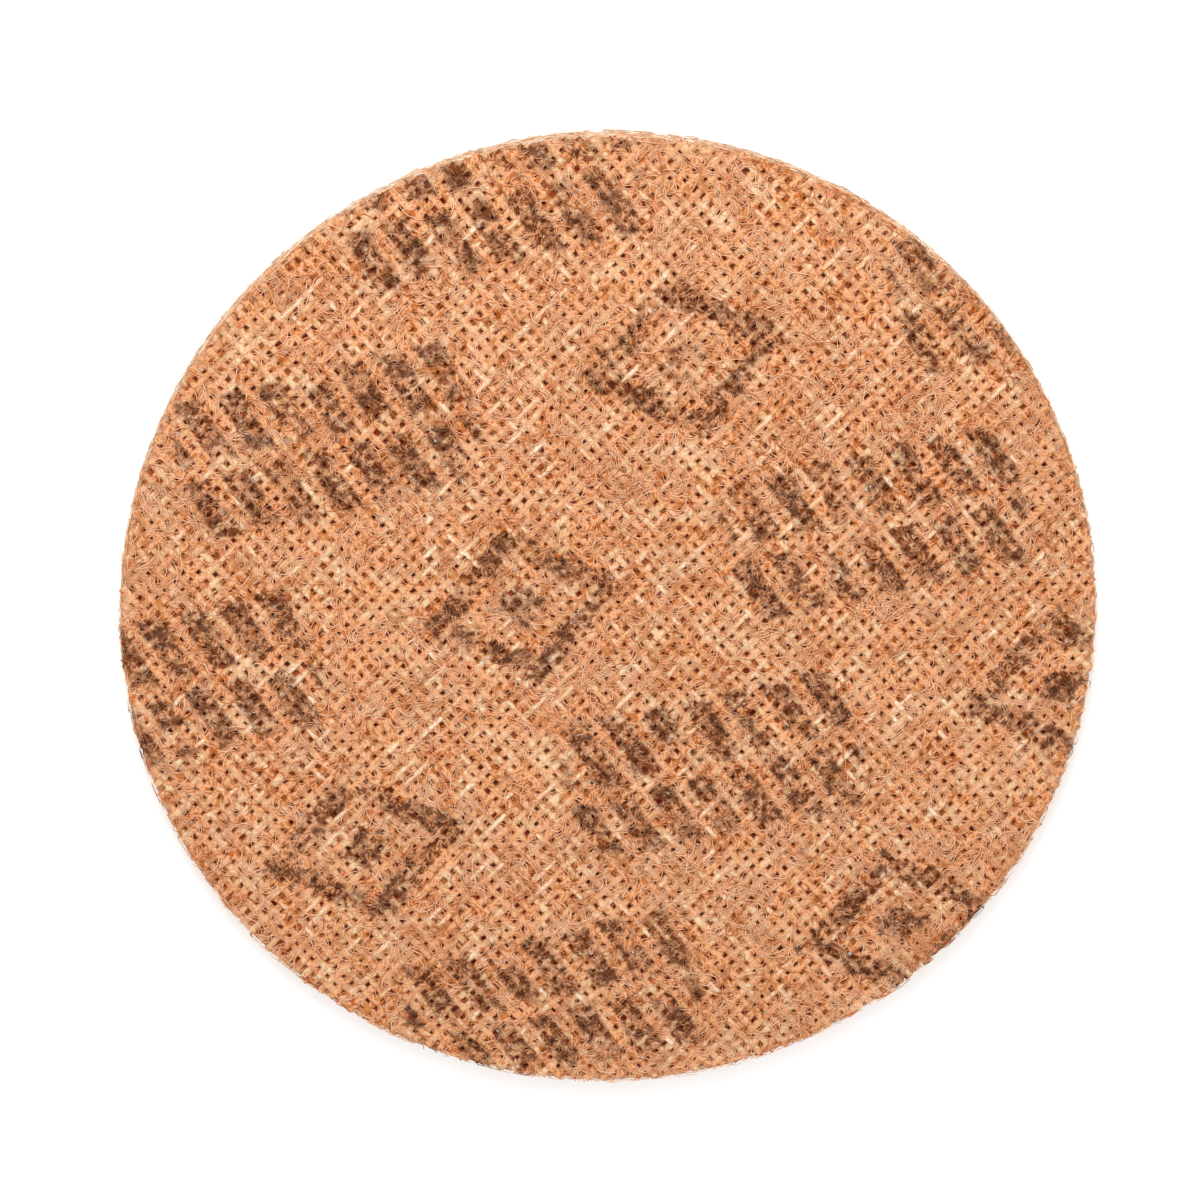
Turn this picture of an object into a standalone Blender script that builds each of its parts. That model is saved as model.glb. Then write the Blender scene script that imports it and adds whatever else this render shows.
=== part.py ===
"""Surface conditioning disc: a die-cut pad of non-woven abrasive web with a woven scrim on its back.

The disc lies flat on its abrasive face, with the scrim that a hook-faced backing pad grips on top.
Lengths are in metres and angles in degrees, +Z is up, and the origin is the centre of the abrasive
face. The scrim is one wall: its threads stand up as ridges in a plain weave, and between them some
of the meshes are open right through it.
"""
import math

import bmesh
import bpy
from mathutils import Matrix, Vector

# The whole disc
DISC_DIAMETER = 0.127
LAYER_GAP = 0.0003

# Non-woven abrasive web
WEB_THICKNESS = 0.0039
WEB_SETBACK = 0.0002
WEB_FRONT_ROUNDING = 0.0008

# Woven scrim: its wall, and the floor of the hollows between its threads
SCRIM_THICKNESS = 0.0008
MESH_FLOOR = 0.0002

# Plain weave: the direction each family of threads runs in, and the distance between its ridges
WARP_DIRECTION = 44.6
WEFT_DIRECTION = 131.9
WARP_PITCH = 0.0041
WEFT_PITCH = 0.0042

# Slopes from the valley between two crossings up to the flat top of the upper thread
FLOAT_END_SLOPE = 0.0006
FLOAT_SIDE_SLOPE = 0.0013

# Open meshes: how far each runs from its middle along the valleys, and how many meshes apart they are
OPEN_MESH_REACH = 0.0009
OPEN_MESH_EVERY = 3
OPEN_MESH_EDGE_MARGIN = 0.003

# Facets and shading
ROUND_SEGMENTS = 120
ROUNDING_SEGMENTS = 2
SHARP_ANGLE = 12.0
DIE_OVERRUN = 0.002

# On the grid of crossings a square is 1 wide, and a thread's top stands 1 above the valleys
TOP = 1.0


def clear_scene():
    """Remove every object that the scene starts with."""
    for thing in list(bpy.data.objects):
        bpy.data.objects.remove(thing, do_unlink=True)


def material(name, colour, roughness):
    """Return a non-metallic Principled material of one colour."""
    finish = bpy.data.materials.new(name)
    finish.use_nodes = True
    shader = finish.node_tree.nodes["Principled BSDF"]
    shader.inputs["Base Color"].default_value = (*colour, 1.0)
    shader.inputs["Roughness"].default_value = roughness
    shader.inputs["Metallic"].default_value = 0.0
    return finish


def add_object(name, bm):
    """Turn a bmesh into a named object, shaded smooth up to the sharp angle."""
    bmesh.ops.recalc_face_normals(bm, faces=bm.faces)
    mesh = bpy.data.meshes.new(name)
    bm.to_mesh(mesh)
    bm.free()
    mesh.shade_smooth()
    mesh.set_sharp_from_angle(angle=math.radians(SHARP_ANGLE))
    thing = bpy.data.objects.new(name, mesh)
    bpy.context.scene.collection.objects.link(thing)
    return thing


def cylinder(radius, bottom, top):
    """Return the bmesh of an upright cylinder between two heights."""
    bm = bmesh.new()
    middle = Matrix.Translation((0.0, 0.0, (bottom + top) / 2))
    bmesh.ops.create_cone(bm, cap_ends=True, segments=ROUND_SEGMENTS, radius1=radius, radius2=radius,
                          depth=top - bottom, matrix=middle)
    return bm


def abrasive_web():
    """Make the web: a thick disc whose front rim is rounded where the cut fibres give way."""
    bm = cylinder(DISC_DIAMETER / 2 - WEB_SETBACK, 0.0, WEB_THICKNESS)
    front_rim = [edge for edge in bm.edges if all(vert.co.z < WEB_THICKNESS / 2 for vert in edge.verts)]
    bmesh.ops.bevel(bm, geom=front_rim, offset=WEB_FRONT_ROUNDING, offset_type="OFFSET",
                    segments=ROUNDING_SEGMENTS, profile=0.5, affect="EDGES", material=-1)
    web = add_object("abrasive_web", bm)
    web.data.materials.append(material("resin_bonded_web", (0.42, 0.19, 0.075), 0.8))
    return web


def direction(angle):
    """Return the unit vector at an angle to +X, in the plane of the disc."""
    return Vector((math.cos(math.radians(angle)), math.sin(math.radians(angle)), 0.0))


def crossing_frame():
    """Return the matrix that takes the grid of crossings to the scrim, in metres above its underside.

    One step in X goes along the warp to the next weft thread, and one in Y along the weft to the
    next warp thread. The threads aren't quite square to each other, so the steps are a little longer
    than the pitches.
    """
    warp = direction(WARP_DIRECTION)
    weft = direction(WEFT_DIRECTION)
    slant = warp.cross(weft).length
    rise = Vector((0.0, 0.0, SCRIM_THICKNESS - MESH_FLOOR))
    steps = Matrix((warp * WEFT_PITCH / slant, weft * WARP_PITCH / slant, rise)).transposed()
    return Matrix.Translation((0.0, 0.0, MESH_FLOOR)) @ steps.to_4x4()


def crossing_grid(frame):
    """Return a grid with a square for each crossing that the disc needs, one of them at its centre."""
    longest_step = max(frame.col[0].xyz.length, frame.col[1].xyz.length)
    reach = DISC_DIAMETER / 2 + longest_step
    count = 2 * math.ceil(reach / min(WARP_PITCH, WEFT_PITCH)) + 1
    bm = bmesh.new()
    bmesh.ops.create_grid(bm, x_segments=count, y_segments=count, size=count / 2)
    unused = [face for face in bm.faces if (frame @ face.calc_center_median()).xy.length > reach]
    bmesh.ops.delete(bm, geom=unused, context="FACES")
    return bm


def raise_floats(bm, frame):
    """Inset each crossing's square to the flat top of its upper thread, and raise that top."""
    tops = list(bm.faces)
    step_x = frame.col[0].xyz.length
    step_y = frame.col[1].xyz.length
    bmesh.ops.inset_individual(bm, faces=tops, thickness=FLOAT_END_SLOPE / max(step_x, step_y), depth=0.0)
    for top in tops:
        middle = top.calc_center_median()
        warp_is_over = (round(middle.x) + round(middle.y)) % 2 == 0
        slope_x = FLOAT_END_SLOPE if warp_is_over else FLOAT_SIDE_SLOPE
        slope_y = FLOAT_SIDE_SLOPE if warp_is_over else FLOAT_END_SLOPE
        for vert in top.verts:
            vert.co.x = middle.x + math.copysign(0.5 - slope_x / step_x, vert.co.x - middle.x)
            vert.co.y = middle.y + math.copysign(0.5 - slope_y / step_y, vert.co.y - middle.y)
            vert.co.z = TOP


def meshes_to_open(bm, frame):
    """Return the corners of the grid, some meshes apart each way, where the scrim is open."""
    reach = DISC_DIAMETER / 2 - OPEN_MESH_EDGE_MARGIN
    corners = []
    for vert in bm.verts:
        if vert.co.z < TOP / 2 and (frame @ vert.co).xy.length < reach:
            column = math.floor(vert.co.x)
            row = math.floor(vert.co.y)
            if column % OPEN_MESH_EVERY == 0 and row % OPEN_MESH_EVERY == 0:
                corners.append(vert)
    return corners


def open_meshes(bm, corners):
    """Widen each corner to an eight-sided hole."""
    holes = bmesh.ops.bevel(bm, geom=corners, offset=OPEN_MESH_REACH, offset_type="OFFSET", segments=1,
                            profile=0.5, affect="VERTICES", material=-1)["faces"]
    bmesh.ops.delete(bm, geom=holes, context="FACES_ONLY")


def close_underside(bm):
    """Carry the sheet's outline and its holes down to a flat underside, and fill that."""
    rims = [edge for edge in bm.edges if edge.is_boundary]
    walls = bmesh.ops.extrude_edge_only(bm, edges=rims)["geom"]
    for vert in (item for item in walls if isinstance(item, bmesh.types.BMVert)):
        vert.co.z = 0.0
    lower_rims = [edge for edge in bm.edges if edge.is_boundary]
    bmesh.ops.triangle_fill(bm, edges=lower_rims, use_beauty=True, use_dissolve=False,
                            normal=(0.0, 0.0, -1.0))


def woven_scrim():
    """Make the scrim: a sheet of plain weave that a round die cuts out."""
    frame = crossing_frame()
    bm = crossing_grid(frame)
    raise_floats(bm, frame)
    corners = meshes_to_open(bm, frame)
    bmesh.ops.transform(bm, matrix=frame, verts=bm.verts)
    open_meshes(bm, corners)
    close_underside(bm)
    scrim = add_object("woven_scrim", bm)
    scrim.data.materials.append(material("scrim_thread", (0.66, 0.42, 0.25), 0.75))
    die = add_object("round_die", cylinder(DISC_DIAMETER / 2, -DIE_OVERRUN, SCRIM_THICKNESS + DIE_OVERRUN))
    die.hide_render = True
    die.display_type = "WIRE"
    die.parent = scrim
    cut = scrim.modifiers.new("cut_round", "BOOLEAN")
    cut.operation = "INTERSECT"
    cut.solver = "EXACT"
    cut.object = die
    return scrim


def build():
    """Lay the scrim on the web, and hang both on one empty at the centre of the abrasive face."""
    clear_scene()
    centre = bpy.data.objects.new("disc_centre", None)
    bpy.context.scene.collection.objects.link(centre)
    web = abrasive_web()
    scrim = woven_scrim()
    web.parent = centre
    scrim.parent = centre
    scrim.location.z = WEB_THICKNESS + LAYER_GAP


build()
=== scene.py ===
"""Looks of the surface conditioning disc.

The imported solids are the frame: a round web, 3.9 mm thick, with a woven scrim 0.8 mm thick on its
back. This script dresses them with the web's rough body, every thread of the scrim at its real pitch,
the pale lengths of thread that stand out on it, the crimped fibres that needling has pulled through
it, the cut fibres of the side wall, and small beads of resin.
Lengths are in metres unless a name says otherwise, and the disc lies on its abrasive face.
"""
import logging
import math
from dataclasses import dataclass
from enum import Enum

import bmesh
import bpy
import numpy as np
from bpy.types import Material, Mesh, Node, NodeSocket, NodeTree, Object
from mathutils import Euler, Matrix, Vector, noise


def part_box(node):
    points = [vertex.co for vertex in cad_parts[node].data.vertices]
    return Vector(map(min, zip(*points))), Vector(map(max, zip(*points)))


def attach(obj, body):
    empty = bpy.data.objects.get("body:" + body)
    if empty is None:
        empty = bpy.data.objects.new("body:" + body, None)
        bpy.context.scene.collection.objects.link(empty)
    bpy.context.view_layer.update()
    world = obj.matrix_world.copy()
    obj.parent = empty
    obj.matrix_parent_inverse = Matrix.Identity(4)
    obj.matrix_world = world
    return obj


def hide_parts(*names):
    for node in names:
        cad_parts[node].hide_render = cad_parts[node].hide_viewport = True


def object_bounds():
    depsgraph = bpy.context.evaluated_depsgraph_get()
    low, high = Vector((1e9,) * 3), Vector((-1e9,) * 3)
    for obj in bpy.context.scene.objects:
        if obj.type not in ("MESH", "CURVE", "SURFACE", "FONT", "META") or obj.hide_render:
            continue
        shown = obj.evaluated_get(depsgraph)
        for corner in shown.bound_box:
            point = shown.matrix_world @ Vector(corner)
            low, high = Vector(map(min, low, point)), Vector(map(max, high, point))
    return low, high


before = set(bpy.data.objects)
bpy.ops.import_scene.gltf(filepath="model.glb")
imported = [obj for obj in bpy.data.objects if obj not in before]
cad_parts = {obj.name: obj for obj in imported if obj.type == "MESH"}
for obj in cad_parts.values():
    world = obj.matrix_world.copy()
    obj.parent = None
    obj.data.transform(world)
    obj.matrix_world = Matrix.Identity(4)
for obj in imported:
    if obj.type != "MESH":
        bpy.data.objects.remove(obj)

CAD_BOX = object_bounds()
WEB_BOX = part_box("abrasive_web")
SCRIM_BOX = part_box("woven_scrim")
LOG = logging.getLogger("surface_conditioning_disc")
MM = 0.001
BODY = "root"
RIM_START = 62.2 * MM

Pair = tuple[float, float]
Colour = tuple[float, float, float]
Draws = np.random.Generator


class ThreadFamily(Enum):
    """The two families of threads in the plain weave."""

    WARP = "warp"
    WEFT = "weft"


class Twist(Enum):
    """How the section of a swept curve is kept upright."""

    FLAT = "Z_UP"
    FREE = "MINIMUM"


class Graph:
    """A node tree, with short ways to add and join its nodes."""

    def __init__(self, tree: NodeTree) -> None:
        """Keep the tree of a material or of a node group."""
        self.tree = tree

    def add(self, kind: str, settings: dict | None = None, **inputs: object) -> Node:
        """Add one node.

        Args:
            kind: The node's type name, without the leading ShaderNode.
            settings: Values of the node's own properties.
            **inputs: Values or sockets for its inputs, named with underscores for spaces.

        Returns:
            The new node.
        """
        node = self.tree.nodes.new("ShaderNode" + kind)
        for name, value in (settings or {}).items():
            setattr(node, name, value)
        for name, value in inputs.items():
            self.put(node.inputs[name.replace("_", " ")], value)
        return node

    def put(self, socket: NodeSocket, value: object) -> None:
        """Link a socket to an input, or set the input's own value.

        Args:
            socket: The input.
            value: An output socket, or a plain value.
        """
        if isinstance(value, NodeSocket):
            self.tree.links.new(value, socket)
        else:
            socket.default_value = value

    def math(self, operation: str, *values: object, clamp: bool = False) -> NodeSocket:
        """Add one Math node.

        Args:
            operation: The node's operation.
            *values: Its inputs, in order.
            clamp: Whether the result is kept between 0 and 1.

        Returns:
            Its result.
        """
        node = self.add("Math", {"operation": operation, "use_clamp": clamp})
        for socket, value in zip(node.inputs, values):
            self.put(socket, value)
        return node.outputs[0]

    def vector(self, operation: str, *values: object) -> NodeSocket:
        """Add one Vector Math node.

        Args:
            operation: The node's operation.
            *values: Its inputs, in order.

        Returns:
            Its result.
        """
        node = self.add("VectorMath", {"operation": operation})
        for socket, value in zip(node.inputs, values):
            self.put(socket, value)
        return node.outputs["Value" if operation in ("LENGTH", "DISTANCE") else "Vector"]

    def remap(self, value: object, low: float, high: float, to_low: float = 0.0,
              to_high: float = 1.0) -> NodeSocket:
        """Return a value that is led smoothly from the first range to the second."""
        node = self.add("MapRange", {"interpolation_type": "SMOOTHSTEP"}, Value=value, From_Min=low,
                        From_Max=high, To_Min=to_low, To_Max=to_high)
        return node.outputs[0]

    def noise(self, where: NodeSocket, size: float, detail: float = 2.0,
              roughness: float = 0.5) -> NodeSocket:
        """Return the value of a noise with lumps of a size in metres, and finer layers on them."""
        node = self.add("TexNoise", None, Vector=where, Scale=1.0 / size, Detail=detail,
                        Roughness=roughness)
        return node.outputs["Fac"]

    def mix(self, share: object, first: object, second: object) -> NodeSocket:
        """Mix two colours.

        Args:
            share: The second colour's share.
            first: The first colour.
            second: The second colour.

        Returns:
            The mixed colour.
        """
        node = self.add("Mix", {"data_type": "RGBA", "clamp_factor": True})
        self.put(node.inputs[0], share)
        self.put(node.inputs[6], rgba(first) if isinstance(first, tuple) else first)
        self.put(node.inputs[7], rgba(second) if isinstance(second, tuple) else second)
        return node.outputs[2]

    def folded(self, value: NodeSocket, size: float) -> NodeSocket:
        """Return how far a value lies from the middle of its whole step, times a size."""
        return self.math("MULTIPLY", self.math("SUBTRACT", self.math("FRACT", value), 0.5), size)


def rgba(colour: Colour) -> tuple[float, float, float, float]:
    """Return a colour with full opacity."""
    return (*colour[:3], 1.0)


def linear(red: int, green: int, blue: int) -> Colour:
    """Return the linear colour of three screen values from 0 to 255."""
    shares = (red / 255.0, green / 255.0, blue / 255.0)
    return tuple(v / 12.92 if v <= 0.04045 else ((v + 0.055) / 1.055) ** 2.4 for v in shares)


@dataclass(frozen=True)
class Weave:
    """The plain weave of the scrim, at its real pitch.

    Attributes:
        warp_angle: Direction that the warp runs in, in degrees from +X.
        weft_angle: Direction that the weft runs in.
        warp_pitch: Distance between warp threads.
        weft_pitch: Distance between weft threads.
    """

    warp_angle: float = 44.56
    weft_angle: float = 131.92
    warp_pitch: float = 1.526 * MM
    weft_pitch: float = 1.557 * MM

    def angle(self, family: ThreadFamily) -> float:
        """Return the direction that a family of threads runs in, in radians."""
        return math.radians(self.warp_angle if family is ThreadFamily.WARP else self.weft_angle)

    def along(self, family: ThreadFamily) -> np.ndarray:
        """Return the unit vector along a family of threads."""
        return np.array((math.cos(self.angle(family)), math.sin(self.angle(family))))

    def across(self, family: ThreadFamily) -> np.ndarray:
        """Return the unit vector across a family of threads."""
        along = self.along(family)
        return np.array((-along[1], along[0]))

    def pitch(self, family: ThreadFamily) -> float:
        """Return the distance between the threads of a family."""
        return self.warp_pitch if family is ThreadFamily.WARP else self.weft_pitch

    def step(self, family: ThreadFamily) -> float:
        """Return the distance along a family's thread from one crossing to the next."""
        other = self.weft_pitch if family is ThreadFamily.WARP else self.warp_pitch
        return other / math.sin(math.radians(self.weft_angle - self.warp_angle))

    def first_crossing(self, family: ThreadFamily, offset: float) -> float:
        """Return how far along a thread, at an offset from the centre, the other middle thread lies."""
        other = self.along(ThreadFamily.WEFT if family is ThreadFamily.WARP else ThreadFamily.WARP)
        return offset * float(other @ self.along(family)) / float(other @ self.across(family))


WEAVE = Weave()


class SharedEffects:
    """Node groups that more than one material uses, each built once."""

    def __init__(self) -> None:
        """Build the groups."""
        self.worn_print = self.build_worn_print()
        self.resin_stain = self.build_resin_stain()
        self.stray_fibres = self.build_stray_fibres()

    @staticmethod
    def start(name: str, outputs: tuple[str, ...]) -> tuple[Graph, NodeSocket, Node]:
        """Start a node group that takes coordinates and gives values.

        Args:
            name: The group's name.
            outputs: The names of its outputs.

        Returns:
            Its graph, the coordinates' socket and the output node.
        """
        tree = bpy.data.node_groups.new(name, "ShaderNodeTree")
        tree.interface.new_socket("Place", in_out="INPUT", socket_type="NodeSocketVector")
        for output in outputs:
            tree.interface.new_socket(output, in_out="OUTPUT", socket_type="NodeSocketFloat")
        place = tree.nodes.new("NodeGroupInput").outputs["Place"]
        return Graph(tree), place, tree.nodes.new("NodeGroupOutput")

    def build_worn_print(self) -> NodeTree:
        """Build the mask of the print: slanted bars in blocks and cored diamonds by turns, worn by use.

        Returns:
            The node group.
        """
        graph, place, out = self.start("worn_print", ("Ink",))
        width, height = 47.0 * MM, 27.0 * MM
        half_diamond, bar_pitch, lean, stagger = 11.5 * MM, 5.3 * MM, 0.35, 0.41
        turned = graph.add("Mapping", None, Vector=place, Location=(-13.0 * MM, 9.0 * MM, 0.0),
                           Rotation=(0.0, 0.0, math.radians(-13.0))).outputs[0]
        cells = graph.add("SeparateXYZ", None, Vector=graph.vector("DIVIDE", turned, (width, height, MM)))
        row = graph.math("FLOOR", cells.outputs["Y"])
        along_row = graph.math("MULTIPLY_ADD", row, stagger, cells.outputs["X"])
        x = graph.folded(along_row, width)
        y = graph.folded(cells.outputs["Y"], height)
        wobble = graph.math("SUBTRACT", graph.noise(place, 2.4 * MM, 2.0), 0.5)
        wander = graph.math("MULTIPLY", wobble, 3.2 * MM)
        far_x = graph.math("ADD", graph.math("ABSOLUTE", x), wander)
        far_y = graph.math("ADD", graph.math("ABSOLUTE", y), wander)
        spread = graph.math("MULTIPLY_ADD", far_y, 1.3, far_x)
        from_outline = graph.math("ABSOLUTE", graph.math("SUBTRACT", spread, half_diamond))
        outline = graph.remap(from_outline, 2.9 * MM, 1.7 * MM)
        diamond = graph.math("MAXIMUM", outline, graph.remap(spread, 4.4 * MM, 2.8 * MM))
        slanted = graph.math("DIVIDE", graph.math("MULTIPLY_ADD", y, lean, x), bar_pitch)
        from_bar = graph.math("ABSOLUTE", graph.math("SUBTRACT", graph.math("FRACT", slanted), 0.5))
        bars = graph.remap(graph.math("MULTIPLY_ADD", wander, 50.0, from_bar), 0.38, 0.26)
        block_width = graph.remap(far_x, 20.0 * MM, 18.6 * MM)
        block = graph.math("MINIMUM", block_width, graph.remap(far_y, 10.0 * MM, 8.8 * MM))
        rows = graph.remap(far_y, 0.4 * MM, 1.5 * MM)
        hatch = graph.math("MULTIPLY", graph.math("MULTIPLY", block, bars), rows)
        motif = graph.add("Mix", {"data_type": "FLOAT"})
        both = graph.math("ADD", row, graph.math("FLOOR", along_row))
        graph.put(motif.inputs[0], graph.math("PINGPONG", both, 1.0))
        graph.put(motif.inputs[2], hatch)
        graph.put(motif.inputs[3], diamond)
        worn = graph.remap(graph.noise(place, 6.0 * MM, 3.0, 0.6), 0.32, 0.48)
        speckled = graph.remap(graph.noise(place, 1.3 * MM, 3.0, 0.65), 0.36, 0.56, 0.2, 1.0)
        ink = graph.math("MULTIPLY", graph.math("MULTIPLY", motif.outputs[0], worn), speckled, clamp=True)
        graph.put(out.inputs["Ink"], ink)
        return graph.tree

    def build_resin_stain(self) -> NodeTree:
        """Build the masks of the resin: where it is thick and orange, and where the thread is bare.

        Returns:
            The node group.
        """
        graph, place, out = self.start("resin_stain", ("Resin", "Bare"))
        patches = graph.noise(place, 2.3 * MM, 3.0, 0.6)
        graph.put(out.inputs["Resin"], graph.remap(patches, 0.5, 0.66))
        clean = graph.noise(graph.vector("ADD", place, (0.31, 0.17, 0.0)), 5.0 * MM, 3.0, 0.65)
        graph.put(out.inputs["Bare"], graph.remap(clean, 0.45, 0.6))
        return graph.tree

    def build_stray_fibres(self) -> NodeTree:
        """Build the lines of fine fibres: three arcs to each cell of a layer, each turned at random.

        Returns:
            The node group, with masks of pale lines, of dark lines that are painted fibre shadows, and of
            those that stand out.
        """
        graph, place, out = self.start("stray_fibres", ("Lines", "Shade", "Relief"))
        raised = self.arcs(graph, place, ((0.0, 2.1, 1.5),))
        flat = self.arcs(graph, place, ((0.37, 2.6, 2.3), (0.71, 2.0, 1.3)))
        graph.put(out.inputs["Lines"], graph.math("MAXIMUM", raised, flat))
        # Shade: dark arcs painted where fibres would cast their shadows, a painted shadow rather than real
        # fibre.
        graph.put(out.inputs["Shade"], self.arcs(graph, place, ((0.53, 1.7, 1.6), (0.19, 2.2, 1.2))))
        graph.put(out.inputs["Relief"], raised)
        return graph.tree

    @staticmethod
    def arcs(graph: Graph, place: NodeSocket, layers: tuple[tuple[float, float, float], ...]) -> NodeSocket:
        """Build the mask of thin arcs.

        Args:
            graph: The graph to add to.
            place: The coordinates.
            layers: A shift in metres, a cell size and a bend in millimetres, for each layer.

        Returns:
            The mask.
        """
        lines = None
        line_edge, line_core, turns = 0.14 * MM, 0.05 * MM, 7.0
        for shift, cell, bend in layers:
            moved = graph.vector("ADD", place, (shift, 0.6 * shift, 0.0))
            cells = graph.add("TexVoronoi", {"voronoi_dimensions": "2D", "feature": "F1"}, Vector=moved,
                              Scale=1.0 / (cell * MM))
            offset = graph.vector("SUBTRACT", moved, cells.outputs["Position"])
            local = graph.vector("MULTIPLY", offset, (1.0, 1.0, 0.0))
            draw = graph.add("SeparateColor", None, Color=cells.outputs["Color"])
            for channel in draw.outputs:
                turn = graph.math("MULTIPLY", channel, turns * math.tau)
                heart_x = graph.math("MULTIPLY", graph.math("COSINE", turn), bend * MM)
                heart_y = graph.math("MULTIPLY", graph.math("SINE", turn), bend * MM)
                heart = graph.add("CombineXYZ", None, X=heart_x, Y=heart_y).outputs[0]
                gap = graph.math("SUBTRACT", graph.vector("DISTANCE", local, heart), bend * MM)
                line = graph.remap(graph.math("ABSOLUTE", gap), line_edge, line_core)
                lines = line if lines is None else graph.math("MAXIMUM", lines, line)
        return lines

    @staticmethod
    def use(graph: Graph, group: NodeTree, place: NodeSocket) -> Node:
        """Place a shared group in a material.

        Args:
            graph: The material's graph.
            group: The shared group.
            place: The coordinates' socket.

        Returns:
            The group's node.
        """
        node = graph.tree.nodes.new("ShaderNodeGroup")
        node.node_tree = group
        graph.put(node.inputs["Place"], place)
        return node


EFFECTS = SharedEffects()


def start_material(name: str) -> tuple[Material, Graph, Node, NodeSocket]:
    """Start a material.

    Args:
        name: The material's name.

    Returns:
        The material, its graph, its Principled shader and the Object coordinates.
    """
    material = bpy.data.materials.new(name)
    material.use_nodes = True
    graph = Graph(material.node_tree)
    shader = material.node_tree.nodes["Principled BSDF"]
    place = graph.add("TexCoord").outputs["Object"]
    return material, graph, shader, place


@dataclass(frozen=True)
class ThreadFinish:
    """Cream woven thread, stained by the web's resin, hazed with fine fibres and darkened along painted
    shadows of those fibres.

    Attributes:
        family: The family of threads, which gives the way that the filaments run.
        bare: Colour of clean thread.
        hazed: Colour of thread under fine fibres.
        stained: Colour of thread soaked with resin, also used for the painted shadows of fibres.
        stray: Colour of the fibres that lie on it.
        inked: Colour of the print on it.
    """

    family: ThreadFamily
    bare: Colour = linear(206, 184, 148)
    hazed: Colour = linear(178, 122, 76)
    stained: Colour = linear(170, 88, 36)
    stray: Colour = linear(216, 160, 120)
    inked: Colour = linear(98, 40, 8)

    def material(self) -> Material:
        """Build the finish.

        Returns:
            Its material.
        """
        material, graph, shader, place = start_material(f"scrim_thread_{self.family.value}")
        stray = EFFECTS.use(graph, EFFECTS.stray_fibres, place)
        stain = EFFECTS.use(graph, EFFECTS.resin_stain, place)
        ink = EFFECTS.use(graph, EFFECTS.worn_print, place).outputs["Ink"]
        turned = graph.add("Mapping", None, Vector=place,
                           Rotation=(0.0, 0.0, -WEAVE.angle(self.family))).outputs[0]
        runs = graph.noise(graph.vector("MULTIPLY", turned, (0.2, 1.0, 1.0)), 1.1 * MM, 1.0)
        bare = graph.math("MAXIMUM", stain.outputs["Bare"], graph.remap(runs, 0.6, 0.7))
        ground = graph.mix(bare, self.hazed, self.bare)
        height = graph.add("SeparateXYZ", None, Vector=place).outputs["Z"]
        sunk = graph.remap(height, 4.84 * MM, 4.6 * MM, 0.0, 0.55)
        resin = graph.math("MAXIMUM", sunk, graph.math("MULTIPLY", stain.outputs["Resin"], 0.85))
        soaked = graph.mix(resin, ground, self.stained)
        # Painted shadow: dark arcs, as if cast by fibres lying on the thread, tinted towards the stained
        # colour.
        shadow_painted = graph.mix(graph.math("MULTIPLY", stray.outputs["Shade"], 0.55), soaked, self.stained)
        printed = graph.mix(graph.math("MULTIPLY", ink, 0.95), shadow_painted, self.inked)
        off_print = graph.math("MULTIPLY_ADD", ink, -0.35, 0.8)
        shown = graph.math("MULTIPLY_ADD", bare, -0.3, off_print, clamp=True)
        cover = graph.math("MULTIPLY", stray.outputs["Lines"], shown)
        fibrous = graph.mix(cover, printed, self.stray)
        graph.put(shader.inputs["Base Color"], fibrous)
        shader.inputs["Specular IOR Level"].default_value = 0.08
        graph.put(shader.inputs["Roughness"], graph.remap(stain.outputs["Resin"], 0.0, 1.0, 0.75, 0.45))
        filaments = graph.noise(graph.vector("MULTIPLY", turned, (0.1, 1.0, 1.0)), 0.13 * MM, 0.0)
        relief = graph.math("ADD", filaments, stray.outputs["Relief"])
        bump = graph.add("Bump", None, Height=relief, Strength=0.5, Distance=0.1 * MM)
        graph.put(shader.inputs["Normal"], bump.outputs[0])
        return material


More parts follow.
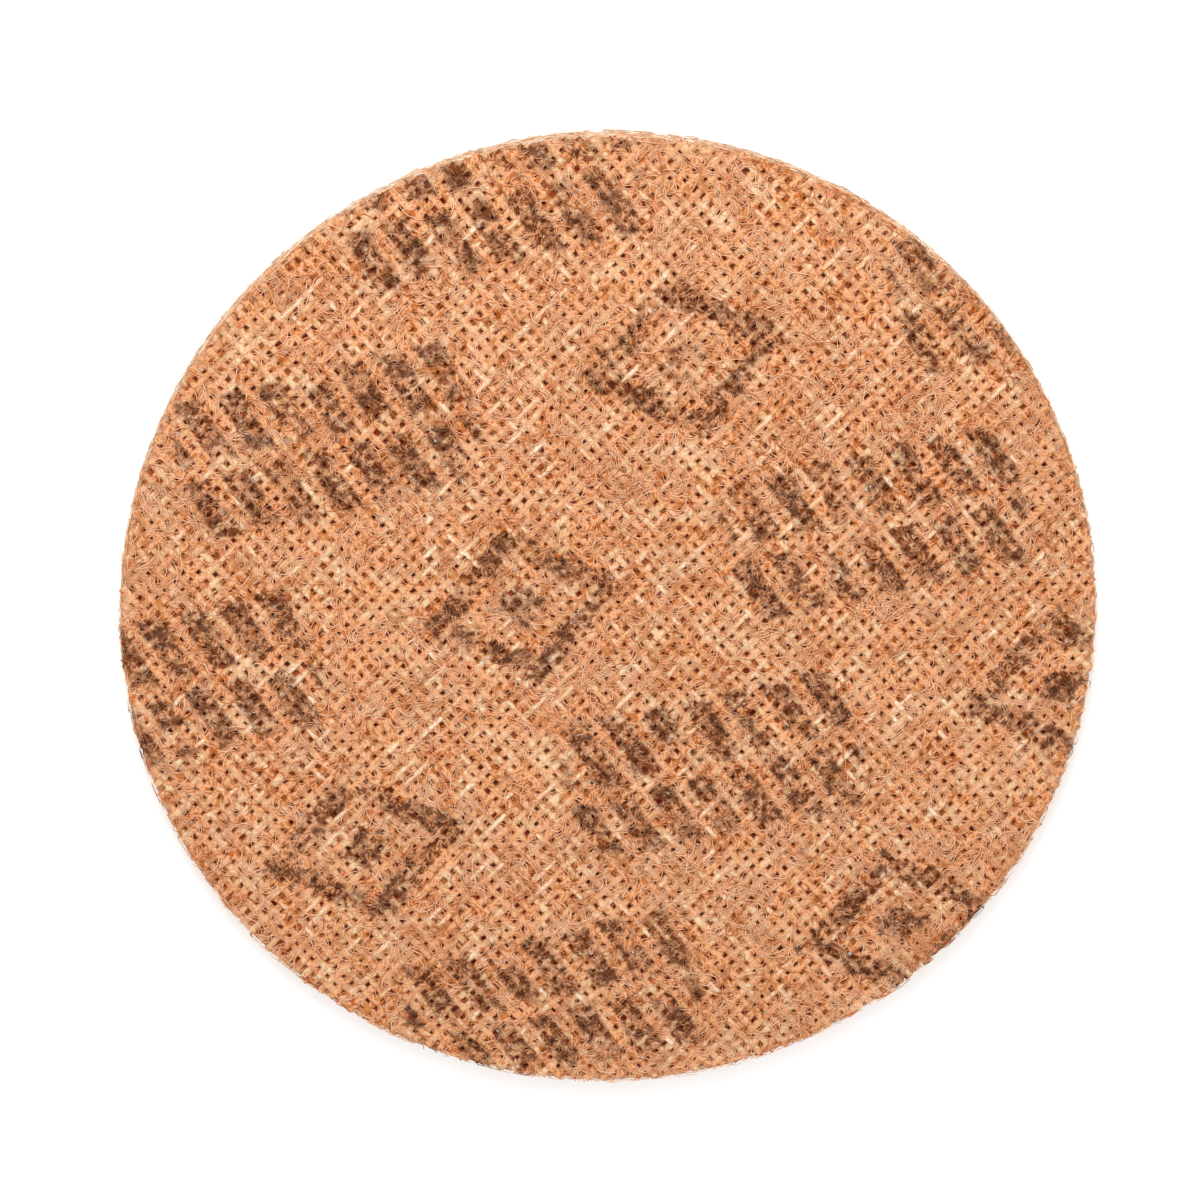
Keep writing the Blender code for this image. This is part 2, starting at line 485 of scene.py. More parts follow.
@dataclass(frozen=True)
class WebFinish:
    """Resin-bonded web: orange-brown fibres, glossy where the resin is thick.

    Attributes:
        deep: Colour down between the threads.
        film: Colour of thick resin near the back.
        fibre: Colour of the fibres on the web's sides and face.
        grain: Colour of the abrasive grain.
        stray: Colour of the palest fibres.
        even_within: Radius within which the lines of fibres aren't drawn out any further.
    """

    deep: Colour = linear(200, 58, 4)
    film: Colour = linear(196, 104, 38)
    fibre: Colour = linear(208, 166, 130)
    grain: Colour = linear(152, 104, 70)
    stray: Colour = linear(216, 164, 122)
    even_within: float = 40.0 * MM

    def material(self) -> Material:
        """Build the finish.

        Returns:
            Its material.
        """
        material, graph, shader, place = start_material("resin_bonded_web")
        height = graph.add("SeparateXYZ", None, Vector=place).outputs["Z"]
        far = graph.vector("LENGTH", graph.vector("MULTIPLY", place, (1.0, 1.0, 0.0)))
        rolled = graph.math("DIVIDE", height, graph.math("MAXIMUM", far, self.even_within))
        stretch = graph.math("ADD", rolled, 1.0)
        stretches = graph.add("CombineXYZ", None, X=stretch, Y=stretch).outputs[0]
        unrolled = graph.vector("MULTIPLY", place, stretches)
        stray = EFFECTS.use(graph, EFFECTS.stray_fibres, unrolled)
        off_rim = graph.remap(far, RIM_START + 0.7 * MM, RIM_START)
        covered = graph.math("MULTIPLY", graph.remap(height, 3.2 * MM, 3.7 * MM), off_rim)
        inside = graph.mix(graph.remap(height, 3.9 * MM, 4.5 * MM), self.deep, self.film)
        clumps = graph.noise(place, 1.1 * MM, 3.0, 0.65)
        outside = graph.mix(graph.remap(clumps, 0.35, 0.65), self.grain, self.fibre)
        body = graph.mix(covered, outside, inside)
        strands = graph.mix(graph.math("MULTIPLY", stray.outputs["Lines"], 0.35), body, self.stray)
        graph.put(shader.inputs["Base Color"], strands)
        shader.inputs["Specular IOR Level"].default_value = 0.1
        graph.put(shader.inputs["Roughness"], graph.remap(clumps, 0.3, 0.7, 0.7, 0.4))
        relief = graph.math("MULTIPLY_ADD", clumps, 1.5, stray.outputs["Relief"])
        bump = graph.add("Bump", None, Height=relief, Strength=0.9, Distance=0.2 * MM)
        graph.put(shader.inputs["Normal"], bump.outputs[0])
        return material


@dataclass(frozen=True)
class FibreFinish:
    """Crimped nylon fibre, a little glossy, darkened where it carries print.

    Attributes:
        name: The material's name.
        light: Colour of the cleanest stretches.
        dark: Colour of the resin-coated stretches.
        ink_share: How much print the fibre carries.
        inked: Colour of the print on it.
    """

    name: str
    light: Colour
    dark: Colour
    ink_share: float
    inked: Colour = linear(82, 40, 14)

    def material(self) -> Material:
        """Build the finish.

        Returns:
            Its material.
        """
        material, graph, shader, place = start_material(self.name)
        coat = graph.remap(graph.noise(place, 1.6 * MM, 2.0, 0.6), 0.4, 0.6)
        ground = graph.mix(coat, self.light, self.dark)
        ink = EFFECTS.use(graph, EFFECTS.worn_print, place).outputs["Ink"]
        printed = graph.mix(graph.math("MULTIPLY", ink, self.ink_share), ground, self.inked)
        graph.put(shader.inputs["Base Color"], printed)
        shader.inputs["Specular IOR Level"].default_value = 0.1
        graph.put(shader.inputs["Roughness"], graph.remap(coat, 0.0, 1.0, 0.4, 0.6))
        return material


@dataclass(frozen=True)
class BeadFinish:
    """Clear resin bead.

    Attributes:
        clear: Colour of the clearest resin.
        cloudy: Colour of cloudy resin.
        roughness: Roughness of its surface.
    """

    clear: Colour = linear(250, 240, 226)
    cloudy: Colour = linear(226, 196, 168)
    roughness: float = 0.04

    def material(self) -> Material:
        """Build the finish.

        Returns:
            Its material.
        """
        material, graph, shader, place = start_material("clear_resin_bead")
        cloud = graph.remap(graph.noise(place, 0.6 * MM, 1.0), 0.35, 0.65)
        graph.put(shader.inputs["Base Color"], graph.mix(cloud, self.clear, self.cloudy))
        shader.inputs["Roughness"].default_value = self.roughness
        shader.inputs["Transmission Weight"].default_value = 0.85
        shader.inputs["IOR"].default_value = 1.5
        return material


@dataclass(frozen=True)
class FloorFinish:
    """Plain pale studio floor.

    Attributes:
        shade: How much light it sends back.
    """

    shade: float = 0.96

    def material(self) -> Material:
        """Build the finish.

        Returns:
            Its material.
        """
        material, graph, shader, place = start_material("pale_floor")
        mottle = graph.remap(graph.noise(place, 60.0 * MM, 2.0), 0.3, 0.7)
        low = (self.shade * 0.995,) * 3
        graph.put(shader.inputs["Base Color"], graph.mix(mottle, low, (self.shade,) * 3))
        shader.inputs["Roughness"].default_value = 0.9
        shader.inputs["Specular IOR Level"].default_value = 0.1
        return material


def finish_piece(name: str, mesh: Mesh, material: Material,
                 replaced: str | None = None) -> Object:
    """Make a mesh a piece of the object.

    Args:
        name: The piece's name.
        mesh: Its mesh, in place.
        material: Its material.
        replaced: The CAD node that it stands for, if any.

    Returns:
        The piece.
    """
    mesh.name = name
    mesh.shade_smooth()
    mesh.materials.clear()
    mesh.materials.append(material)
    piece = bpy.data.objects.new(name, mesh)
    bpy.context.scene.collection.objects.link(piece)
    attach(piece, BODY)
    if replaced:
        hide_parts(replaced)
    LOG.info("%s: %d triangles", name, sum(len(face.vertices) - 2 for face in mesh.polygons))
    return piece


def plain_mesh(name: str, bm: bmesh.types.BMesh) -> Mesh:
    """Turn a bmesh into a mesh, and free it.

    Args:
        name: The mesh's name.
        bm: The bmesh.

    Returns:
        The mesh.
    """
    mesh = bpy.data.meshes.new(name)
    bm.to_mesh(mesh)
    bm.free()
    return mesh


def evaluated_mesh(holder: Object) -> Mesh:
    """Take the mesh that an object shows, and remove the object.

    Args:
        holder: The object, in no collection.

    Returns:
        The mesh.
    """
    bpy.context.scene.collection.objects.link(holder)
    mesh = bpy.data.meshes.new_from_object(holder.evaluated_get(bpy.context.evaluated_depsgraph_get()))
    bpy.data.objects.remove(holder, do_unlink=True)
    return mesh


def tapered(share: np.ndarray) -> np.ndarray:
    """Return how thick a fibre is along its length, from 0 to 1, for its full thickness of 1."""
    return 1.0 - 0.35 * np.abs(2.0 * share - 1.0) ** 3


class Sweep:
    """Many curves swept with one small section, made one mesh."""

    def __init__(self, section: list[Pair], twist: Twist) -> None:
        """Start the curves.

        Args:
            section: The section's corners, counter-clockwise.
            twist: How the section is kept upright.
        """
        outline = bpy.data.curves.new("section", "CURVE")
        outline.dimensions = "2D"
        spline = outline.splines.new("POLY")
        spline.points.add(len(section) - 1)
        spline.points.foreach_set("co", [value for x, y in section for value in (x, y, 0.0, 1.0)])
        spline.use_cyclic_u = True
        self.section = bpy.data.objects.new("section", outline)
        self.curve = bpy.data.curves.new("sweep", "CURVE")
        self.curve.dimensions = "3D"
        self.curve.twist_mode = twist.value
        self.curve.bevel_mode = "OBJECT"
        self.curve.bevel_object = self.section
        self.curve.use_fill_caps = True

    def add(self, points: np.ndarray, radii: np.ndarray) -> None:
        """Add one curve.

        Args:
            points: Its points, one row each.
            radii: The section's scale at each point.
        """
        spline = self.curve.splines.new("POLY")
        spline.points.add(len(points) - 1)
        spline.points.foreach_set("co", np.column_stack((points, np.ones(len(points)))).ravel())
        spline.points.foreach_set("radius", radii)
        spline.use_smooth = True

    def mesh(self) -> Mesh:
        """Make the swept curves one closed mesh, and remove the curves.

        Returns:
            The mesh.
        """
        bpy.context.scene.collection.objects.link(self.section)
        mesh = evaluated_mesh(bpy.data.objects.new("sweep", self.curve))
        bpy.data.objects.remove(self.section, do_unlink=True)
        bm = bmesh.new()
        bm.from_mesh(mesh)
        bmesh.ops.recalc_face_normals(bm, faces=bm.faces)
        bm.to_mesh(mesh)
        bm.free()
        return mesh


def thread_section(half_width: float, half_height: float) -> list[Pair]:
    """Return the corners of a flattened thread: a broad rounded back over a keel."""
    shares = ((1.0, -0.2), (0.55, 1.0), (-0.55, 1.0), (-1.0, -0.2), (0.0, -1.0))
    return [(half_width * x, half_height * y) for x, y in shares]


def fibre_section() -> list[Pair]:
    """Return the corners of a fibre, at a half width of 1."""
    turns = (math.tau * (k + 0.25) / 3 for k in range(3))
    return [(math.cos(turn), math.sin(turn)) for turn in turns]


@dataclass
class WebBody:
    """The web's body: a rough felt under the scrim, with a ragged cut edge.

    Attributes:
        facet: Size of the facets of its skin.
        segments: Sides of the round shape that it starts from.
        inset: How far its side lies inside the scrim's rim.
        rounding: Rounding of both rims.
        lump: Size of the lumps of its upper side.
        fine_lump: Size of the finer lumps.
        lift: How far the bed between the threads lies over the web's solid.
        rise: How far resin and fibre rise and sink there.
        rim_height: Height of the cut rim, where the web's fibres stand up beside the threads.
        rim_width: Distance over which the bed rises to that height.
        rim_unevenness: How far the rim rises and sinks.
        edge_roughness: How far the cut edge wanders.
        face_roughness: Depth of the hollows in the abrasive face.
    """

    facet: float = 0.8 * MM
    segments: int = 240
    inset: float = 0.05 * MM
    rounding: float = 0.35 * MM
    lump: float = 1.7 * MM
    fine_lump: float = 0.9 * MM
    lift: float = 0.15 * MM
    rise: float = 0.8 * MM
    rim_height: float = 4.75 * MM
    rim_width: float = 0.8 * MM
    rim_unevenness: float = 0.2 * MM
    edge_roughness: float = 0.3 * MM
    face_roughness: float = 0.45 * MM

    def build(self) -> Object:
        """Build the web and stand it for its CAD node.

        Returns:
            The piece.
        """
        mesh = self.skin()
        self.roughen(mesh)
        return finish_piece("web_body", mesh, WebFinish().material(), "abrasive_web")

    def skin(self) -> Mesh:
        """Build a closed round skin of even facets around the web's solid.

        Returns:
            Its mesh.
        """
        bottom = WEB_BOX[0].z
        radius = SCRIM_BOX[1].x - self.inset
        bm = bmesh.new()
        middle = Matrix.Translation((0.0, 0.0, (bottom + self.rim_height) / 2))
        bmesh.ops.create_cone(bm, cap_ends=True, segments=self.segments, radius1=radius, radius2=radius,
                              depth=self.rim_height - bottom, matrix=middle)
        rims = [edge for edge in bm.edges if abs(edge.verts[0].co.z - edge.verts[1].co.z) < MM / 10]
        bmesh.ops.bevel(bm, geom=rims, offset=self.rounding, offset_type="OFFSET", segments=2, profile=0.5,
                        affect="EDGES", material=-1)
        holder = bpy.data.objects.new("web_skin", plain_mesh("web_skin", bm))
        even = holder.modifiers.new("even_facets", "REMESH")
        even.mode = "VOXEL"
        even.voxel_size = self.facet
        return evaluated_mesh(holder)

    def roughen(self, mesh: Mesh) -> None:
        """Move the skin's points: lumps above, hollows below, and a ragged edge.

        Args:
            mesh: The skin.
        """
        low, high = WEB_BOX
        places = np.empty(len(mesh.vertices) * 3)
        normals = np.empty(len(mesh.vertices) * 3)
        mesh.vertices.foreach_get("co", places)
        mesh.vertices.foreach_get("normal", normals)
        places = places.reshape(-1, 3)
        ups = normals.reshape(-1, 3)[:, 2]
        lumps = np.array([noise.fractal(Vector(place) / self.lump, 0.8, 2.1, 3) for place in places])
        fine = np.array([noise.noise(Vector(place) / self.fine_lump) for place in places])
        above = ups > 0.6
        below = ups < -0.6
        wander = self.edge_roughness * (1.0 - np.abs(ups)) * (0.8 * lumps + 0.7 * fine - 0.3)
        distance = np.hypot(places[:, 0], places[:, 1])
        places[:, :2] *= (1.0 + wander / np.maximum(distance, MM))[:, None]
        bed = high.z + self.rise * (0.9 * lumps + 0.3 * fine) + self.lift
        share = np.clip((distance - RIM_START) / self.rim_width, 0.0, 1.0)
        rim = self.rim_height + self.rim_unevenness * lumps
        places[above, 2] = (bed + share * (rim - bed))[above]
        places[below, 2] = low.z + self.face_roughness * np.abs(lumps + 0.5 * fine)[below]
        mesh.vertices.foreach_set("co", places.ravel())
        mesh.update()


@dataclass
class ScrimThreads:
    """One family of the scrim's threads.

    Attributes:
        family: Which family.
        half_width: Half the width of a thread.
        half_height: Half its height.
        crimp: How far it rises and sinks as it crosses the other family.
        sway: How far it strays to the side.
        waves: Lengths of the longer and the shorter wave of that, and of the wave of its width.
        unevenness: Smaller strays to the side and in height.
        margin: How far inside the rim the outermost thread lies at least.
        shortfall: How far an end may stop short of the rim.
        seed: Seed of its small irregularities.
    """

    family: ThreadFamily
    half_width: float = 0.58 * MM
    half_height: float = 0.19 * MM
    crimp: float = 0.09 * MM
    sway: float = 0.11 * MM
    waves: tuple[float, float, float] = (4.1 * MM, 1.7 * MM, 2.9 * MM)
    unevenness: Pair = (0.02 * MM, 0.015 * MM)
    margin: float = 1.5 * MM
    shortfall: float = 0.4 * MM
    seed: int = 11

    def build(self) -> Object:
        """Build the threads and stand them for the scrim's CAD node.

        Returns:
            The piece.
        """
        draw = np.random.default_rng(self.seed)
        sweep = Sweep(thread_section(self.half_width, self.half_height), Twist.FLAT)
        count = math.floor((SCRIM_BOX[1].x - self.margin) / WEAVE.pitch(self.family))
        for index in range(-count, count + 1):
            self.add_thread(sweep, index, draw)
        name = f"scrim_{self.family.value}_threads"
        finish = ThreadFinish(self.family)
        return finish_piece(name, sweep.mesh(), finish.material(), "woven_scrim")

    def add_thread(self, sweep: Sweep, index: int, draw: Draws) -> None:
        """Add one thread, from edge to edge of the disc.

        Args:
            sweep: The curves to add to.
            index: The thread's number, counted from the one through the disc's centre.
            draw: The source of the small irregularities.
        """
        low, high = SCRIM_BOX
        offset = index * WEAVE.pitch(self.family)
        half_step = WEAVE.step(self.family) / 2
        start = WEAVE.first_crossing(self.family, offset)
        reach = math.sqrt(high.x ** 2 - (abs(offset) + 0.8 * self.half_width) ** 2)
        near_end = -reach + draw.uniform(0.0, self.shortfall)
        far_end = reach - draw.uniform(0.0, self.shortfall)
        first, last = (near_end - start) / half_step, (far_end - start) / half_step
        stations = np.concatenate(((first,), np.arange(math.ceil(first + 0.2), last - 0.2), (last,)))
        run = start + stations * half_step
        sign = (1 if index % 2 == 0 else -1) * (1 if self.family is ThreadFamily.WARP else -1)
        height = (low.z + high.z) / 2 + sign * self.crimp * np.cos(math.pi * stations / 2)
        phase = draw.uniform(0.0, math.tau)
        long_wave, short_wave, width_wave = (run / wave for wave in self.waves)
        aside = offset + self.sway * (np.sin(long_wave + phase) + 0.7 * np.sin(short_wave + 2.3 * phase))
        aside += draw.normal(0.0, self.unevenness[0], len(run))
        plane = np.outer(run, WEAVE.along(self.family)) + np.outer(aside, WEAVE.across(self.family))
        points = np.column_stack((plane, height + draw.normal(0.0, self.unevenness[1], len(run))))
        radii = 1.0 + 0.1 * np.sin(width_wave + 3.1 * phase) + draw.normal(0.0, 0.08, len(run))
        sweep.add(points, radii)


@dataclass
class ThreadFloats:
    """Short stretches where a pale thread lies over others, clear of the fibres.

    Attributes:
        counts: How many lie along the warp, and along the weft.
        lengths: Shortest and longest stretch along the warp, and along the weft.
        half_width: Half the width of the thread there.
        half_height: Half its height.
        depth: How far under the scrim's top its middle lies.
        droop: How far its ends sink below that.
        unevenness: Small strays to the side and in height.
        margin: How far inside the rim they lie at least.
        points: Points along one stretch.
        seed: Seed of the draws.
    """

    counts: tuple[int, int] = (170, 190)
    lengths: tuple[Pair, ...] = ((1.4 * MM, 4.2 * MM), (1.0 * MM, 2.2 * MM))
    half_width: float = 0.31 * MM
    half_height: float = 0.13 * MM
    depth: float = 0.14 * MM
    droop: float = 0.2 * MM
    unevenness: Pair = (0.04 * MM, 0.025 * MM)
    margin: float = 5.0 * MM
    points: int = 9
    seed: int = 51

    def build(self) -> Object:
        """Build the stretches.

        Returns:
            The piece.
        """
        draw = np.random.default_rng(self.seed)
        sweep = Sweep(thread_section(self.half_width, self.half_height), Twist.FLAT)
        for family, count, lengths in zip(ThreadFamily, self.counts, self.lengths):
            for _ in range(count):
                self.add_float(sweep, family, draw.uniform(*lengths), draw)
        finish = ThreadFinish(ThreadFamily.WARP, bare=linear(216, 200, 176), hazed=linear(210, 186, 154),
                              stained=linear(198, 160, 120))
        return finish_piece("scrim_thread_floats", sweep.mesh(), finish.material())

    def add_float(self, sweep: Sweep, family: ThreadFamily, length: float,
                  draw: Draws) -> None:
        """Add one stretch.

        Args:
            sweep: The curves to add to.
            family: The family that it belongs to.
            length: Its length.
            draw: The source of the draws.
        """
        radius, _, top = SCRIM_BOX[1]
        where = draw.uniform(0.0, math.tau)
        far = (radius - self.margin) * math.sqrt(draw.uniform())
        middle = far * np.array((math.cos(where), math.sin(where)))
        pitch = WEAVE.pitch(family)
        offset = round(float(middle @ WEAVE.across(family)) / pitch) * pitch
        share = np.linspace(-1.0, 1.0, self.points)
        run = float(middle @ WEAVE.along(family)) + share * length / 2
        aside = offset + draw.normal(0.0, self.unevenness[0], len(run))
        plane = np.outer(run, WEAVE.along(family)) + np.outer(aside, WEAVE.across(family))
        height = top - self.depth - self.droop * np.abs(share) ** 4
        height += draw.normal(0.0, self.unevenness[1], len(run))
        radii = 1.0 - 0.3 * share ** 4 + draw.normal(0.0, 0.16, len(run))
        sweep.add(np.column_stack((plane, height)), radii)


@dataclass
class NeedledFibres:
    """Crimped fibres that lie over the scrim in tufts, which run in every direction.

    Attributes:
        name: The piece's name.
        finish: Its finish.
        tufts: The number of tufts.
        tuft: The number of fibres in a tuft.
        spread: How far a tuft's fibres lie from its middle.
        seed: Seed of the draws.
        length: Shortest and longest fibre.
        half_width: Thinnest and thickest half width.
        bend: Tightest and widest bend.
        lift: Height of the fibre's ends over the scrim.
        arch: Lowest and highest arch over the threads.
        patch: Size of the patches where tufts lie closer together.
        overhang: How far past the disc's rim a tuft's middle may lie.
        reach: Least and furthest that a fibre may go past the rim.
        segments: Straight stretches in a fibre.
    """

    name: str
    finish: FibreFinish
    tufts: int
    seed: int
    tuft: int = 3
    spread: float = 0.7 * MM
    length: Pair = (2.4 * MM, 5.0 * MM)
    half_width: Pair = (0.045 * MM, 0.07 * MM)
    bend: Pair = (1.1 * MM, 3.0 * MM)
    lift: float = -0.22 * MM
    arch: Pair = (0.05 * MM, 0.35 * MM)
    patch: float = 7.0 * MM
    overhang: float = 0.3 * MM
    reach: Pair = (-0.9 * MM, 0.15 * MM)
    segments: int = 6

    def build(self) -> Object:
        """Build the fibres.

        Returns:
            The piece.
        """
        draw = np.random.default_rng(self.seed)
        sweep = Sweep(fibre_section(), Twist.FREE)
        for _ in range(self.tufts):
            middle = self.middle(draw)
            heading = draw.uniform(0.0, math.tau)
            turning = draw.choice((-1.0, 1.0)) / draw.uniform(*self.bend)
            for _ in range(self.tuft):
                self.add_fibre(sweep, middle, heading, turning, draw)
        return finish_piece(self.name, sweep.mesh(), self.finish.material())

    def middle(self, draw: Draws) -> np.ndarray:
        """Choose where a tuft's middle lies: anywhere, but more often where the needles struck.

        Args:
            draw: The source of the draws.

        Returns:
            The place.
        """
        while True:
            far = (SCRIM_BOX[1].x + self.overhang) * math.sqrt(draw.uniform())
            where = draw.uniform(0.0, math.tau)
            spot = far * np.array((math.cos(where), math.sin(where)))
            density = 0.8 + 0.6 * noise.noise(Vector((*spot, 0.0)) / self.patch)
            if draw.uniform() < density:
                return spot

    def add_fibre(self, sweep: Sweep, middle: np.ndarray, heading: float, turning: float,
                  draw: Draws) -> None:
        """Add one fibre.

        Args:
            sweep: The curves to add to.
            middle: The tuft's middle.
            heading: The direction that the tuft's fibres start in.
            turning: How sharply they turn, in radians for each metre.
            draw: The source of the draws.
        """
        radius, _, top = SCRIM_BOX[1]
        stride = draw.uniform(*self.length) / self.segments
        turns = turning * draw.uniform(0.7, 1.3) + draw.normal(0.0, 0.35, self.segments) / self.bend[0]
        swing = np.concatenate(([0.0], np.cumsum(turns[:-1] * stride)))
        headings = heading + draw.normal(0.0, 0.35) + swing
        steps = stride * np.column_stack((np.cos(headings), np.sin(headings)))
        path = np.vstack((np.zeros(2), np.cumsum(steps, axis=0)))
        path += middle + draw.normal(0.0, self.spread, 2) - path.mean(axis=0)
        distance = np.hypot(path[:, 0], path[:, 1])
        limit = radius + draw.uniform(*self.reach)
        path *= np.minimum(1.0, limit / np.maximum(distance, limit / 2))[:, None]
        share = np.linspace(0.0, 1.0, len(path))
        arch = draw.uniform(*self.arch) * np.sin(math.pi * share)
        height = top + self.lift + arch + draw.normal(0.0, 0.04 * MM, len(path))
        sweep.add(np.column_stack((path, height)), draw.uniform(*self.half_width) * tapered(share))


@dataclass
class RimFibres:
    """Cut and crimped fibres on the web's side wall, which mostly run level.

    Attributes:
        count: The number of fibres.
        length: Shortest and longest fibre.
        half_width: Thinnest and thickest half width.
        slope: How steeply they start, in radians.
        crimp: How sharply they turn from one stretch to the next, in radians.
        bulge: How far a fibre stands out at its middle.
        depth: How far inside the disc's rim its ends lie.
        starts: Distances from the face and from the top between which it starts.
        ends: The same for the rest of it.
        segments: Straight stretches in a fibre.
        seed: Seed of the draws.
    """

    count: int = 1650
    length: Pair = (1.6 * MM, 4.4 * MM)
    half_width: Pair = (0.045 * MM, 0.075 * MM)
    slope: float = 0.55
    crimp: float = 0.45
    bulge: float = 0.22 * MM
    depth: float = 0.15 * MM
    starts: Pair = (0.3 * MM, 0.4 * MM)
    ends: Pair = (0.12 * MM, 0.15 * MM)
    segments: int = 5
    seed: int = 61

    def build(self) -> Object:
        """Build the fibres.

        Returns:
            The piece.
        """
        draw = np.random.default_rng(self.seed)
        sweep = Sweep(fibre_section(), Twist.FREE)
        for _ in range(self.count):
            self.add_fibre(sweep, draw)
        finish = FibreFinish("rim_fibre", linear(232, 212, 190), linear(206, 162, 126), 0.0)
        return finish_piece("rim_fibres", sweep.mesh(), finish.material())

    def add_fibre(self, sweep: Sweep, draw: Draws) -> None:
        """Add one fibre.

        Args:
            sweep: The curves to add to.
            draw: The source of the draws.
        """
        radius, _, top = SCRIM_BOX[1]
        stride = draw.uniform(*self.length) / self.segments
        headings = draw.normal(0.0, self.slope) + np.cumsum(draw.normal(0.0, self.crimp, self.segments))
        run = np.concatenate(([0.0], np.cumsum(stride * np.cos(headings))))
        rise = np.concatenate(([0.0], np.cumsum(stride * np.sin(headings))))
        around = draw.uniform(0.0, math.tau) + run / radius
        height = draw.uniform(self.starts[0], top - self.starts[1]) + rise
        height = np.clip(height, self.ends[0], top - self.ends[1])
        share = np.linspace(0.0, 1.0, len(run))
        far = radius - self.depth + self.bulge * draw.uniform() * np.sin(math.pi * share)
        far += draw.normal(0.0, 0.03 * MM, len(run))
        points = np.column_stack((far * np.cos(around), far * np.sin(around), height))
        sweep.add(points, draw.uniform(*self.half_width) * tapered(share))


@dataclass
class ResinBeads:
    """Small clear beads of resin among the fibres.

    Attributes:
        count: The number of beads.
        radius: Smallest and largest radius.
        margin: How far inside the disc's rim they lie at least.
        perch: Height of a bead's middle over the scrim, in its radii.
        seed: Seed of the draws.
    """

    count: int = 320
    radius: Pair = (0.15 * MM, 0.3 * MM)
    margin: float = 1.0 * MM
    perch: float = 0.4
    seed: int = 71

    def build(self) -> Object:
        """Build the beads.

        Returns:
            The piece.
        """
        draw = np.random.default_rng(self.seed)
        rim, _, top = SCRIM_BOX[1]
        bm = bmesh.new()
        bmesh.ops.create_uvsphere(bm, u_segments=8, v_segments=5, radius=1.0)
        bead = plain_mesh("bead", bm)
        bm = bmesh.new()
        for _ in range(self.count):
            size = draw.uniform(*self.radius)
            far = (rim - self.margin) * math.sqrt(draw.uniform())
            where = draw.uniform(0.0, math.tau)
            spot = Vector((far * math.cos(where), far * math.sin(where), top + self.perch * size))
            sizes = (size, size * draw.uniform(0.8, 1.0), size * draw.uniform(0.75, 1.0), 1.0)
            turn = Matrix.Rotation(draw.uniform(0.0, math.tau), 4, "Z")
            seat = Matrix.Translation(spot) @ turn @ Matrix.Diagonal(sizes)
            bead.transform(seat)
            bm.from_mesh(bead)
            bead.transform(seat.inverted())
        mesh = plain_mesh("resin_beads", bm)
        return finish_piece("resin_beads", mesh, BeadFinish().material())


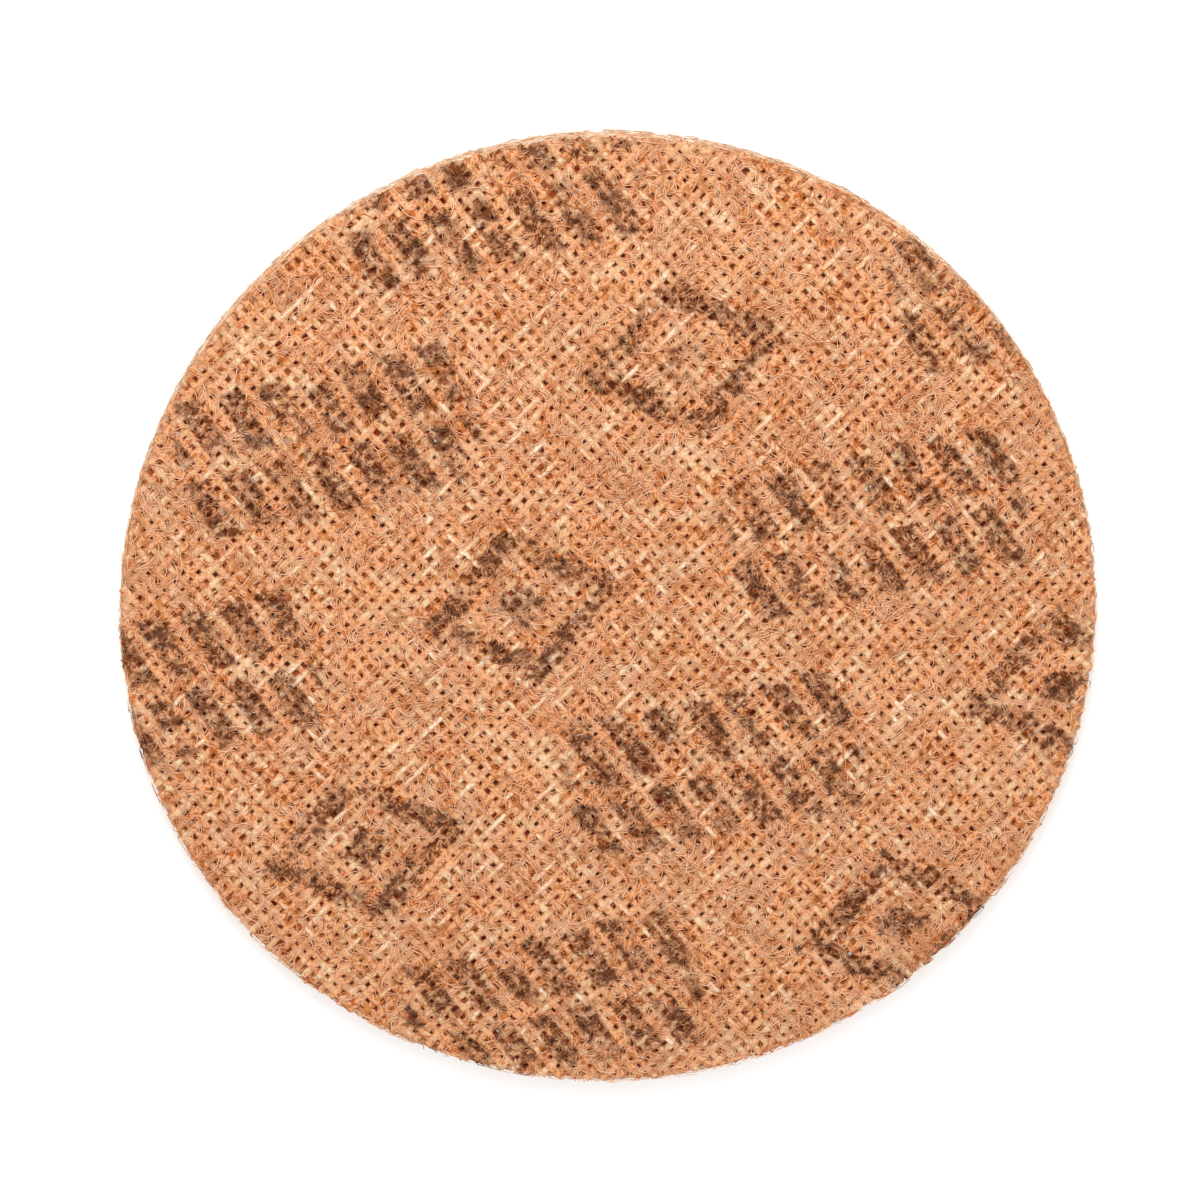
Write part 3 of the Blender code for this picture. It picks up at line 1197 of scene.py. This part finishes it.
@dataclass
class Studio:
    """The pale floor, the soft light and the camera at the photograph's angle.

    Attributes:
        tilt: How far the view leans back over the disc, in degrees.
        roll_aside: How far it leans to the side, in degrees.
        distance: From the disc's centre, in radii of the disc.
        shown_radius: Radius of the disc in the picture, in its pixels.
        picture: Width of the picture, in pixels.
        off_axis: Where the disc's centre lies from the view's axis, in radii.
        sensor: Width of the sensor, in millimetres.
        key_place: Where the lamp stands.
        key_size: Length of the lamp's sides.
        key_power: The lamp's power, in watts.
        sky_strength: Strength of the even light from all round.
        floor_reach: Half width of the floor.
    """

    tilt: float = -14.43
    roll_aside: float = -1.81
    distance: float = 10.27
    shown_radius: float = 488.88
    picture: float = 1200.0
    off_axis: Pair = (0.01941, -0.04165)
    sensor: float = 36.0
    key_place: tuple[float, float, float] = (-0.04, 0.3, 0.3)
    key_size: float = 0.22
    key_power: float = 1.2
    sky_strength: float = 1.18
    floor_reach: float = 6.0

    def build(self) -> None:
        """Build the floor, the lamp, the sky and the camera."""
        self.floor()
        self.lamp()
        self.sky()
        self.camera()
        bpy.context.scene.view_settings.view_transform = "Standard"
        bpy.context.scene.view_settings.look = "None"

    def floor(self) -> None:
        """Build the floor."""
        bm = bmesh.new()
        bmesh.ops.create_grid(bm, x_segments=1, y_segments=1, size=self.floor_reach)
        mesh = plain_mesh("floor", bm)
        mesh.materials.append(FloorFinish().material())
        floor = bpy.data.objects.new("floor", mesh)
        bpy.context.scene.collection.objects.link(floor)

    def lamp(self) -> None:
        """Add a soft square lamp that faces the disc."""
        light = bpy.data.lights.new("key_light", "AREA")
        light.shape = "SQUARE"
        light.size = self.key_size
        light.energy = self.key_power
        lamp = bpy.data.objects.new("key_light", light)
        lamp.location = self.key_place
        lamp.rotation_euler = Vector(self.key_place).to_track_quat("Z", "Y").to_euler()
        bpy.context.scene.collection.objects.link(lamp)

    def sky(self) -> None:
        """Light the scene evenly from all round."""
        world = bpy.data.worlds.new("soft_sky")
        world.use_nodes = True
        background = world.node_tree.nodes["Background"]
        background.inputs["Color"].default_value = (1.0, 1.0, 1.0, 1.0)
        background.inputs["Strength"].default_value = self.sky_strength
        bpy.context.scene.world = world

    def camera(self) -> None:
        """Add the camera, turned and placed as the disc's outline and weave in the photograph show."""
        low, high = CAD_BOX
        radius = (high[0] - low[0]) / 2
        turn = Euler((math.radians(self.tilt), math.radians(self.roll_aside), 0.0), "XYZ")
        aside, up, back = turn.to_matrix().col
        target = Vector((0.0, 0.0, high[2]))
        place = target + radius * (back * self.distance - aside * self.off_axis[0] - up * self.off_axis[1])
        lens = bpy.data.cameras.new("camera")
        lens.sensor_width = self.sensor
        lens.lens = self.distance * self.shown_radius / self.picture * self.sensor
        camera = bpy.data.objects.new("camera", lens)
        camera.location = place
        camera.rotation_euler = turn
        bpy.context.scene.collection.objects.link(camera)
        bpy.context.scene.camera = camera


def main() -> None:
    """Build the disc's pieces and the studio, in order."""
    logging.basicConfig(level=logging.INFO, format="%(asctime)s %(message)s")
    pale = FibreFinish("pale_fibre", linear(230, 180, 144), linear(216, 160, 120), 0.85)
    peach = FibreFinish("peach_fibre", linear(214, 154, 114), linear(200, 134, 88), 0.95)
    amber = FibreFinish("amber_fibre", linear(192, 118, 62), linear(174, 84, 24), 1.0)
    WebBody().build()
    ScrimThreads(ThreadFamily.WARP, seed=11).build()
    ScrimThreads(ThreadFamily.WEFT, seed=12).build()
    ThreadFloats().build()
    NeedledFibres("pale_fibres", pale, 1700, 31).build()
    NeedledFibres("peach_fibres", peach, 1700, 32).build()
    NeedledFibres("amber_fibres", amber, 1700, 33, lift=-0.3 * MM, arch=(0.0, 0.3 * MM)).build()
    RimFibres().build()
    ResinBeads().build()
    Studio().build()


if __name__ == "__main__":
    main()
